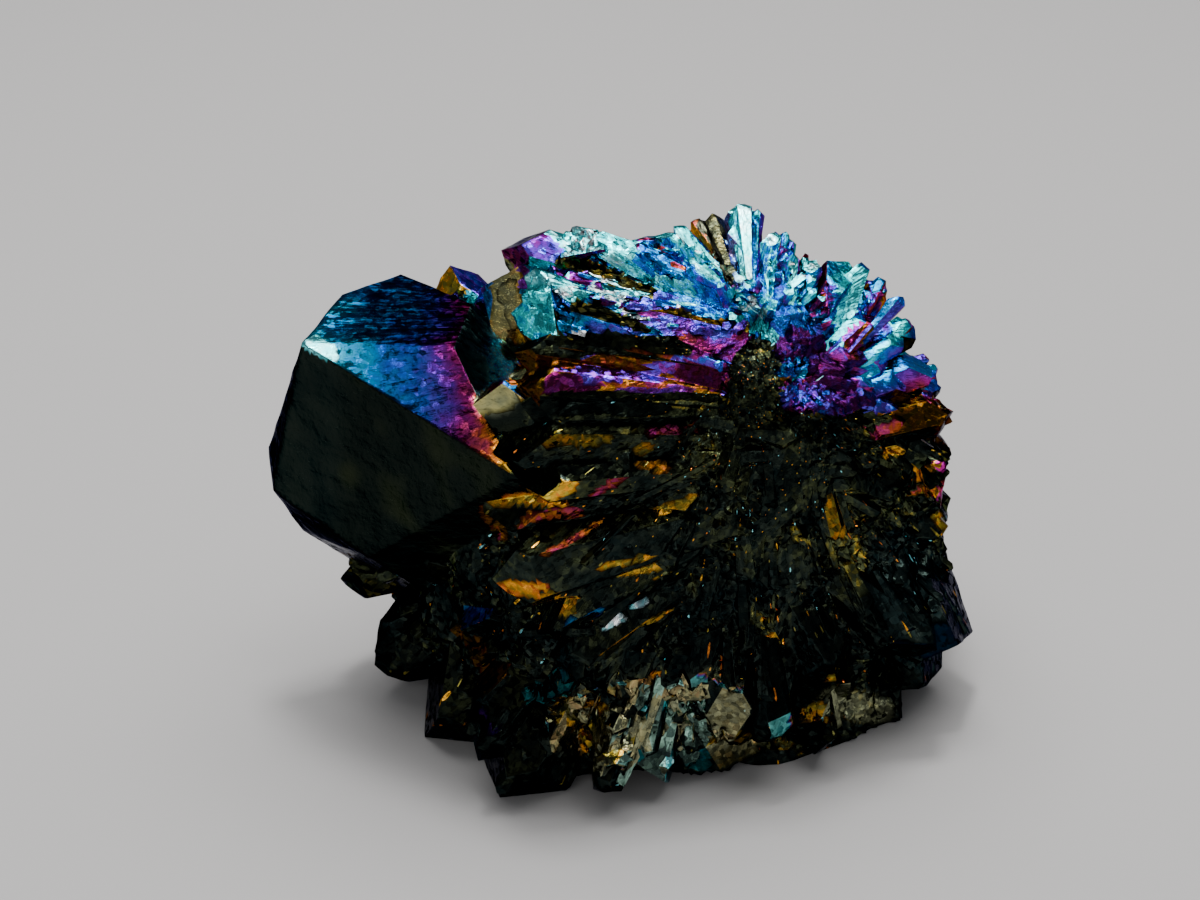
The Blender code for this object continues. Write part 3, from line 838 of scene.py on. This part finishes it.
def lower_coat(at):
    """Film and brightness of the broken front: painted shade, near black with olive, darker lower
    down.
    """
    film = 0.095 - 0.045 * smooth(-5.0, -15.0, at.up) + 0.06 * at.tone
    film = film + 0.10 * at.drift + 0.03 * at.grain
    # Painted sheen and shade: facets that face the light get a warmer film but are painted darker.
    film += 0.05 * smooth(0.7, 0.95, at.lit)
    value = (0.32 + 0.34 * at.glow) * (1 - 0.92 * smooth(0.65, 0.9, at.lit))
    return film, value


def back_coat(at):
    """Film and brightness of the back: copper below to blue on top, painted brighter where lit."""
    film = 0.33 + 0.38 * smooth(-0.3, 0.9, at.lit) + 0.28 * at.tone + 0.10 * at.drift
    value = 0.10 + 0.55 * smooth(-0.1, 0.9, at.lit) * (0.4 + 0.6 * at.glow)
    return np.minimum(film, 0.82), value


def blended(coat, other, film_share, value_share):
    """One coat over another, each of the film and the brightness by its own share."""
    film, value = coat
    other_film, other_value = other
    return film + (other_film - film) * film_share, value + (other_value - value) * value_share


def druse_share_at(at):
    """Where the small crystals at the foot of the front are, away from its dark ones."""
    across = (at.across - DRUSE_CENTRE[0]) / DRUSE_REACH[0]
    up = (at.up - DRUSE_CENTRE[1]) / DRUSE_REACH[1]
    share = smooth(1.0, 0.7, np.hypot(across, up))
    return share * (smooth(0.0, 0.2, at.facing) * (at.tone > DRUSE_DARK_TONE))


def millimetres(pixels):
    """A length in the front view's picture in millimetres, to a tenth."""
    return round(pixels / PIXELS_PER_MM, 1)


def placed(pixel):
    """A pixel of the picture as millimetres across and up from the front view's centre."""
    return millimetres(pixel[0] - PICTURE_MIDDLE[0]), millimetres(PICTURE_MIDDLE[1] - pixel[1])


def stroke_distance(across, up, start, end):
    """Distance in the front view from a stroke's middle line."""
    a, b = np.array(start), np.array(end)
    d = b - a
    t = np.clip(((across - a[0]) * d[0] + (up - a[1]) * d[1]) / (d @ d), 0.0, 1.0)
    return np.hypot(across - a[0] - t * d[0], up - a[1] - t * d[1])


def coat_point(at, coat):
    """Changes the coat on the large point, with its painted light and shade. Returns where that is,
    its top, and how pale it is.
    """
    film, value = coat
    on_point = (at.across < POINT_RIGHT + POINT_MARGIN) & (at.middle[:, 0] < POINT_RIGHT)
    on_point &= (at.middle[:, 2] > POINT_LOW) & (at.middle[:, 2] < POINT_HIGH)
    on_point &= at.area > POINT_FACET_AREA
    top = on_point & (at.normal[:, 2] > 0.5)
    front = on_point & (at.normal[:, 2] <= 0.5) & (at.facing > 0.0)
    far = smooth(0.35, 0.5, at.normal[top, 0])
    film[top] = np.interp(at.place[top, 0], POINT_TOP_ACROSS, POINT_TOP_FILM)
    film[top] += (POINT_FAR_FILM - film[top]) * far + 0.06 * at.drift[top] + 0.04 * at.grain[top]
    # Painted light across the top facets, brightest at the apex end.
    value[top] = np.interp(at.place[top, 0], POINT_TOP_ACROSS, POINT_TOP_GLOW)
    # Painted shade on the front, a little lighter left of the crease.
    crease = at.across[front] - CREASE_LEAN * at.up[front]
    left = smooth(POINT_FRONT_CREASE, POINT_FRONT_CREASE - CREASE_WIDTH, crease)
    film[front] = POINT_FRONT_FILM + 0.05 * at.drift[front] - 0.03 * left
    value[front] = POINT_FRONT_GLOW + 0.20 * left
    pale = np.zeros(len(film))
    pale[top] = POINT_SIDE_PALE * far
    return on_point, top, pale


def coat_mark(at, coat, share, mark_film, mark_value):
    """Lays one mark on the coat, with its painted brightness. A bright mark on a dark face, a
    painted glint, fades towards its border.
    """
    film, value = coat
    whole_face = np.repeat(share.reshape(-1, 3).mean(axis=1), 3) > WHOLE_FACE_SHARE
    out_of_dark = whole_face & (film < DARK_FILM)
    film = np.where(whole_face, mark_film + 0.05 * at.drift + 0.04 * at.grain, film)
    fading = mark_value * smooth(0.15, 0.9, share) * (1 + 0.5 * at.grain)
    covered = value + (mark_value - value) * smooth(0.0, 0.4, share)
    return film, np.where(out_of_dark, fading, covered)


def mark_shares(at, start, end, half_width):
    """How far a mark covers each corner, and how near its border that is."""
    across, up = at.across + BORDER_WAVER * at.grain, at.up + BORDER_WAVER * at.drift
    distance = stroke_distance(across, up, start, end)
    share = smooth(half_width, half_width * 0.6, distance) * smooth(0.0, 0.15, at.facing)
    return share, smooth(0.25, 0.9, distance / half_width)


def coat_marks(at, coat):
    """Lays every stroke and petal on the coat, with their painted highlights and shade. Returns it,
    and where it is dull and smooth.
    """
    dull = np.zeros(len(at.across))
    even = np.zeros(len(at.across))
    painted_falloff = PETAL_EDGE_DROP * smooth(0.92, 0.6, at.lit) - 0.10 * at.tone
    marks = []
    for name, start, end, half_width, film, value in STROKES:
        marks.append((name, placed(start), placed(end), millimetres(half_width), film, value, False))
    for name, start, end, half_width, film, value in SPECKS:
        marks.append((name, placed(start), placed(end), half_width, film, value, False))
    for name, root, tip, width, _, _, film, value in PETALS:
        marks.append((name, root, tip, width * 0.5, film, value, True))
    for name, start, end, half_width, film, value, on_petal in marks:
        share, rim = mark_shares(at, start, end, half_width)
        # Painted falloff: petals shift film on the sides that turn from the light, and are painted
        # darker at their rims.
        if on_petal:
            film = film - painted_falloff - PETAL_RIM_DROP * rim
            value = value * (1 - 0.5 * rim)
        else:
            share *= smooth(10.5, 9.0, at.place[:, 1])
        coat = coat_mark(at, coat, share, film, value)
        if name in DULL_PLACES:
            dull = np.maximum(dull, share)
        if on_petal or name in DULL_PLACES:
            even = np.maximum(even, share)
    return coat, dull, even


def paint(mesh):
    """Stores the film's place on the colour scale and its brightness, which is painted light and
    shade, on every face corner.
    """
    at = Corners(mesh)
    above = smooth(2.0, 5.0, at.up)
    behind = smooth(3.0, 8.0, at.place[:, 1]) * smooth(0.25, -0.15, at.facing)
    coat = blended(lower_coat(at), upper_coat(at), above, above)
    coat = blended(coat, back_coat(at), behind, behind)
    druse = druse_share_at(at)
    druse_film = 0.22 + 0.64 * (at.tone > DRUSE_TEAL_TONE) + 0.05 * at.drift
    coat = blended(coat, (druse_film, 0.13 + 0.62 * at.glow), druse > 0.3, druse)
    on_point, top, pale = coat_point(at, coat)
    (film, value), dull, even = coat_marks(at, coat)

    pale = np.maximum(np.maximum(pale, DULL_PALE * dull), DRUSE_PALE * druse)
    glitter = 0.45 + 0.4 * at.rock - 0.45 * on_point + 0.25 * top - 0.30 * even
    glitter = np.clip(glitter, 0.0, 1.0)
    for name, values in (("film", film), ("glow", value), ("pale", pale), ("glitter", glitter)):
        made = mesh.attributes.new(name, "FLOAT", "CORNER")
        made.data.foreach_set("value", np.clip(values, 0.0, BRIGHTEST))


# --- material ----------------------------------------------------------------------------------

# Colours of the film as it gets thicker. Its near-white end gives the painted highlights their
# colour.
FILM_COLOURS = (
    (0.00, (0.010, 0.020, 0.020)),
    (0.10, (0.030, 0.043, 0.034)),
    (0.19, (0.120, 0.145, 0.060)),
    (0.24, (0.420, 0.330, 0.040)),
    (0.30, (0.880, 0.360, 0.020)),
    (0.37, (0.600, 0.090, 0.045)),
    (0.45, (0.560, 0.020, 0.330)),
    (0.54, (0.200, 0.040, 0.720)),
    (0.64, (0.015, 0.160, 0.850)),
    (0.74, (0.005, 0.450, 0.900)),
    (0.84, (0.030, 0.800, 0.820)),
    (0.92, (0.140, 0.900, 0.960)),
    (0.97, (0.450, 0.960, 1.000)),
    (1.00, (0.850, 0.980, 1.000)),
)
PALE_FILM = (0.58, 0.60, 0.36)
SPECULAR_TINT = (0.25, 0.25, 0.32)
ROUGHNESS = (0.10, 0.27)

# Sizes of what the surface carries, and how high each stands.
GRAIN_SIZE = 1.1 * MM
FINE_GRAIN_SIZE = GRAIN_SIZE / 2.4
GRAIN_HEIGHT = 0.035 * MM
FACET_SIZE = 0.42 * MM
FACET_LEAN = 0.9
TERRACE_SIZE = 3.5 * MM
TERRACE_STEP = 0.08
TERRACE_HEIGHT = 0.5 * MM
STREAKS_AROUND = 34.0
STREAK_LENGTH = 6.0 * MM
STREAK_HEIGHT = 0.12 * MM

# How much small facets and streaks change the film, and its brightness, where they are.
FILM_SHIFT = 0.16
FACET_GAIN = (0.45, 1.4)
STREAK_GAIN = (0.4, 1.5)

# Flecks, which are painted glints: how many of the spots are one, how far each reaches, and the film
# of warm and cool ones.
FLECKS_PER_STREAK = 2.4
FLECK_SHARE = 0.12
FLECK_REACH = (0.12, 0.42)
WARM_FLECK_FILM = (0.20, 0.34)
COOL_FLECK_FILM = 0.95
COOL_FLECKS = 0.84


class Nodes:
    """Short ways to add the nodes of one material."""

    def __init__(self, material):
        material.use_nodes = True
        self.tree = material.node_tree
        self.surface = self.tree.nodes["Principled BSDF"]

    def add(self, kind, inputs=(), **settings):
        node = self.tree.nodes.new(kind)
        for name, value in settings.items():
            setattr(node, name, value)
        for socket, value in dict(inputs).items():
            if isinstance(value, bpy.types.NodeSocket):
                self.tree.links.new(value, node.inputs[socket])
            else:
                node.inputs[socket].default_value = value
        return node

    def math(self, operation, a, b, c=0.0):
        node = self.add("ShaderNodeMath", {0: a, 1: b, 2: c}, operation=operation)
        return node.outputs[0]

    def noise(self, place, size):
        inputs = {"Vector": place, "Scale": 1 / size, "Detail": 5.0}
        return self.add("ShaderNodeTexNoise", inputs).outputs["Fac"]

    def vector(self, operation, a, b=(0, 0, 0)):
        return self.add("ShaderNodeVectorMath", {0: a, 1: b}, operation=operation).outputs["Vector"]

    def scaled(self, vector, factor):
        inputs = {0: vector, "Scale": factor}
        return self.add("ShaderNodeVectorMath", inputs, operation="SCALE").outputs["Vector"]

    def measured(self, operation, a, b=(0, 0, 0)):
        """A number from one or two vectors, such as a length."""
        return self.add("ShaderNodeVectorMath", {0: a, 1: b}, operation=operation).outputs["Value"]

    def split(self, colour):
        parts = self.add("ShaderNodeSeparateColor", {"Color": colour}).outputs
        return parts["Red"], parts["Green"], parts["Blue"]

    def mix(self, factor, a, b):
        return self.add("ShaderNodeMix", {"Factor": factor, "A": a, "B": b}).outputs["Result"]

    def spread(self, value, low, high, out_low, out_high):
        inputs = {"Value": value, "From Min": low, "From Max": high}
        inputs.update({"To Min": out_low, "To Max": out_high})
        return self.add("ShaderNodeMapRange", inputs, interpolation_type="SMOOTHSTEP").outputs[0]

    def attribute(self, name):
        return self.add("ShaderNodeAttribute", attribute_name=name).outputs["Fac"]


def streaked(made, place):
    """Coordinates that turn fast round the hub and change slowly on the way out from it."""
    away = made.vector("SUBTRACT", place, HUB * MM)
    reach = made.measured("LENGTH", away)
    turns = made.math("ADD", made.math("DIVIDE", reach, STREAK_LENGTH), STREAKS_AROUND)
    return made.scaled(made.vector("NORMALIZE", away), turns)


def fleck_glints(made, along, glitter):
    """A few small facets painted to flash gold, orange or white, as glints: where they are, and
    their film.
    """
    spots = made.add("ShaderNodeTexVoronoi", {"Vector": along, "Scale": FLECKS_PER_STREAK})
    chance, hue, size = made.split(spots.outputs["Color"])
    chosen = made.math("LESS_THAN", chance, made.math("MULTIPLY", glitter, FLECK_SHARE))
    reach = made.spread(size, 0.0, 1.0, *FLECK_REACH)
    near = made.math("LESS_THAN", spots.outputs["Distance"], reach)
    warm = made.spread(hue, 0.0, COOL_FLECKS, *WARM_FLECK_FILM)
    cool = made.math("GREATER_THAN", hue, COOL_FLECKS)
    return made.math("MULTIPLY", chosen, near), made.mix(cool, warm, COOL_FLECK_FILM)


def film_colour(made, film):
    """The film's colour from its place on the colour scale."""
    ramp = made.add("ShaderNodeValToRGB", {"Fac": film})
    elements = ramp.color_ramp.elements
    while len(elements) > 1:
        elements.remove(elements[-1])
    elements[0].position = FILM_COLOURS[0][0]
    elements[0].color = (*FILM_COLOURS[0][1], 1.0)
    for position, colour in FILM_COLOURS[1:]:
        elements.new(position).color = (*colour, 1.0)
    return ramp.outputs["Color"]


def reflected_colour(made, cells, along, streak, glitter):
    """What the film reflects: its colour, changed by small facets, streaks and flecks, times its
    painted light and shade.
    """
    film, glow, pale = (made.attribute(name) for name in ("film", "glow", "pale"))
    cell_tone, cell_glow, _ = made.split(cells.outputs["Color"])
    streak_tone = made.math("SUBTRACT", streak, 0.5)
    tone = made.math("ADD", streak_tone, made.math("SUBTRACT", cell_tone, 0.5))
    shift = made.math("MULTIPLY", tone, made.math("MULTIPLY", glitter, FILM_SHIFT))
    fleck_glint, fleck_film = fleck_glints(made, along, glitter)
    fleck_glint = made.math("MULTIPLY", fleck_glint, made.math("LESS_THAN", film, DARK_FILM))
    colour = film_colour(made, made.mix(fleck_glint, made.math("ADD", film, shift), fleck_film))

    facet_gain = made.spread(cell_glow, 0.0, 1.0, *FACET_GAIN)
    streak_gain = made.spread(streak, 0.3, 0.7, *STREAK_GAIN)
    gain = made.mix(glitter, 1.0, made.math("MULTIPLY", facet_gain, streak_gain))
    # Fleck glints are painted at full brightness.
    strength = made.mix(fleck_glint, made.math("MULTIPLY", glow, gain), 1.0)
    inputs = {"Factor": pale, "A": colour, "B": (*PALE_FILM, 1.0)}
    tinted = made.add("ShaderNodeMix", inputs, data_type="RGBA").outputs["Result"]
    return made.vector("MINIMUM", made.scaled(tinted, strength), (1.0, 1.0, 1.0))


def relief_normal(made, place, cells, streak, glitter):
    """Relief in metres: grain, streaks, growth terraces, and small facets that lean at random."""
    fine = made.noise(place, FINE_GRAIN_SIZE)
    steps = made.math("SNAP", made.noise(place, TERRACE_SIZE), TERRACE_STEP)
    offset = made.vector("SUBTRACT", place, cells.outputs["Position"])
    tilt = made.vector("SUBTRACT", cells.outputs["Color"], (0.5, 0.5, 0.5))
    lean = made.measured("DOT_PRODUCT", offset, tilt)
    height = made.math("MULTIPLY", lean, made.math("MULTIPLY", glitter, FACET_LEAN))
    for part, size in ((fine, GRAIN_HEIGHT), (streak, STREAK_HEIGHT), (steps, TERRACE_HEIGHT)):
        height = made.math("MULTIPLY_ADD", part, size, height)
    bump = made.add("ShaderNodeBump", {"Height": height, "Strength": 1.0, "Distance": 1.0})
    return bump.outputs["Normal"]


def film_material():
    """The iridescent metal film, coloured by the values that paint() stores on the mesh."""
    material = bpy.data.materials.new("aura_film")
    made = Nodes(material)
    place = made.add("ShaderNodeTexCoord").outputs["Object"]
    glitter = made.attribute("glitter")
    cells = made.add("ShaderNodeTexVoronoi", {"Vector": place, "Scale": 1 / FACET_SIZE})
    along = streaked(made, place)
    streak = made.noise(along, 1.0)
    roughness = made.spread(made.noise(place, GRAIN_SIZE), 0.3, 0.7, *ROUGHNESS)
    sockets = {
        "Base Color": reflected_colour(made, cells, along, streak, glitter),
        "Roughness": roughness,
        "Normal": relief_normal(made, place, cells, streak, glitter),
    }
    for name, source in sockets.items():
        made.tree.links.new(source, made.surface.inputs[name])
    made.surface.inputs["Metallic"].default_value = 1.0
    made.surface.inputs["Specular Tint"].default_value = (*SPECULAR_TINT, 1.0)
    return material


# --- studio ------------------------------------------------------------------------------------

FLOOR_SIZE = 3.0
FLOOR_DROP = 0.00005
FLOOR_COLOUR = (0.34, 0.33, 0.325)
FLOOR_ROUGHNESS = 0.8
CAMERA_DISTANCE = 0.240
CAMERA_LENS = 100.0
CAMERA_CLIP = (0.01, 10.0)

# Soft lights: name, place and size in metres, and power in watts.
LIGHTS = (
    ("overhead", (0.02, 0.06, 0.36), (0.44, 0.34), 2.4),
    ("sparkle", (-0.01, 0.04, 0.34), (0.06, 0.06), 0.8),
    ("front_fill", (-0.14, -0.40, 0.27), (0.50, 0.35), 0.64),
)
SKY_COLOUR = (0.50, 0.53, 0.58)
SKY_STRENGTH = 0.35


def studio_floor():
    bpy.ops.mesh.primitive_plane_add(size=FLOOR_SIZE, location=(0, 0, -FLOOR_DROP))
    floor = bpy.context.object
    floor.name = "studio_floor"
    material = bpy.data.materials.new("pale_floor")
    material.use_nodes = True
    surface = material.node_tree.nodes["Principled BSDF"]
    surface.inputs["Base Color"].default_value = (*FLOOR_COLOUR, 1.0)
    surface.inputs["Roughness"].default_value = FLOOR_ROUGHNESS
    floor.data.materials.append(material)


def studio_lights():
    for name, place, size, power in LIGHTS:
        lamp = bpy.data.lights.new(name, "AREA")
        lamp.shape = "RECTANGLE"
        lamp.size, lamp.size_y = size
        lamp.energy = power
        light = bpy.data.objects.new(name, lamp)
        light.location = place
        light.rotation_mode = "QUATERNION"
        light.rotation_quaternion = (Vector(place) - VIEW_CENTRE * MM).to_track_quat("Z", "Y")
        bpy.context.scene.collection.objects.link(light)
    world = bpy.data.worlds.new("studio")
    world.use_nodes = True
    background = world.node_tree.nodes["Background"]
    background.inputs["Color"].default_value = (*SKY_COLOUR, 1.0)
    background.inputs["Strength"].default_value = SKY_STRENGTH
    bpy.context.scene.world = world


def studio_camera():
    data = bpy.data.cameras.new("camera")
    data.lens = CAMERA_LENS
    data.clip_start, data.clip_end = CAMERA_CLIP
    view = bpy.data.objects.new("camera", data)
    view.location = VIEW_CENTRE * MM + TO_VIEWER * CAMERA_DISTANCE
    view.rotation_euler = (math.pi / 2 - VIEW_ELEVATION, 0.0, 0.0)
    bpy.context.scene.collection.objects.link(view)
    bpy.context.scene.camera = view


# --- the dressed cluster -----------------------------------------------------------------------


def dressed_cluster():
    """Makes the one visible piece, which stands for the solid."""
    bm = grown_cluster()
    label_facets(bm)
    refine(bm)
    displace(bm)
    mesh = bpy.data.meshes.new("aura_cluster")
    bm.to_mesh(mesh)
    bm.free()
    paint(mesh)
    mesh.transform(Matrix.Scale(MM, 4))
    mesh.shade_smooth()
    mesh.set_sharp_from_angle(angle=SHARP_ANGLE)
    mesh.materials.append(film_material())
    cluster = bpy.data.objects.new("aura_cluster", mesh)
    bpy.context.scene.collection.objects.link(cluster)
    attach(cluster, "root")
    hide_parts(NODE)


dressed_cluster()
studio_floor()
studio_lights()
studio_camera()
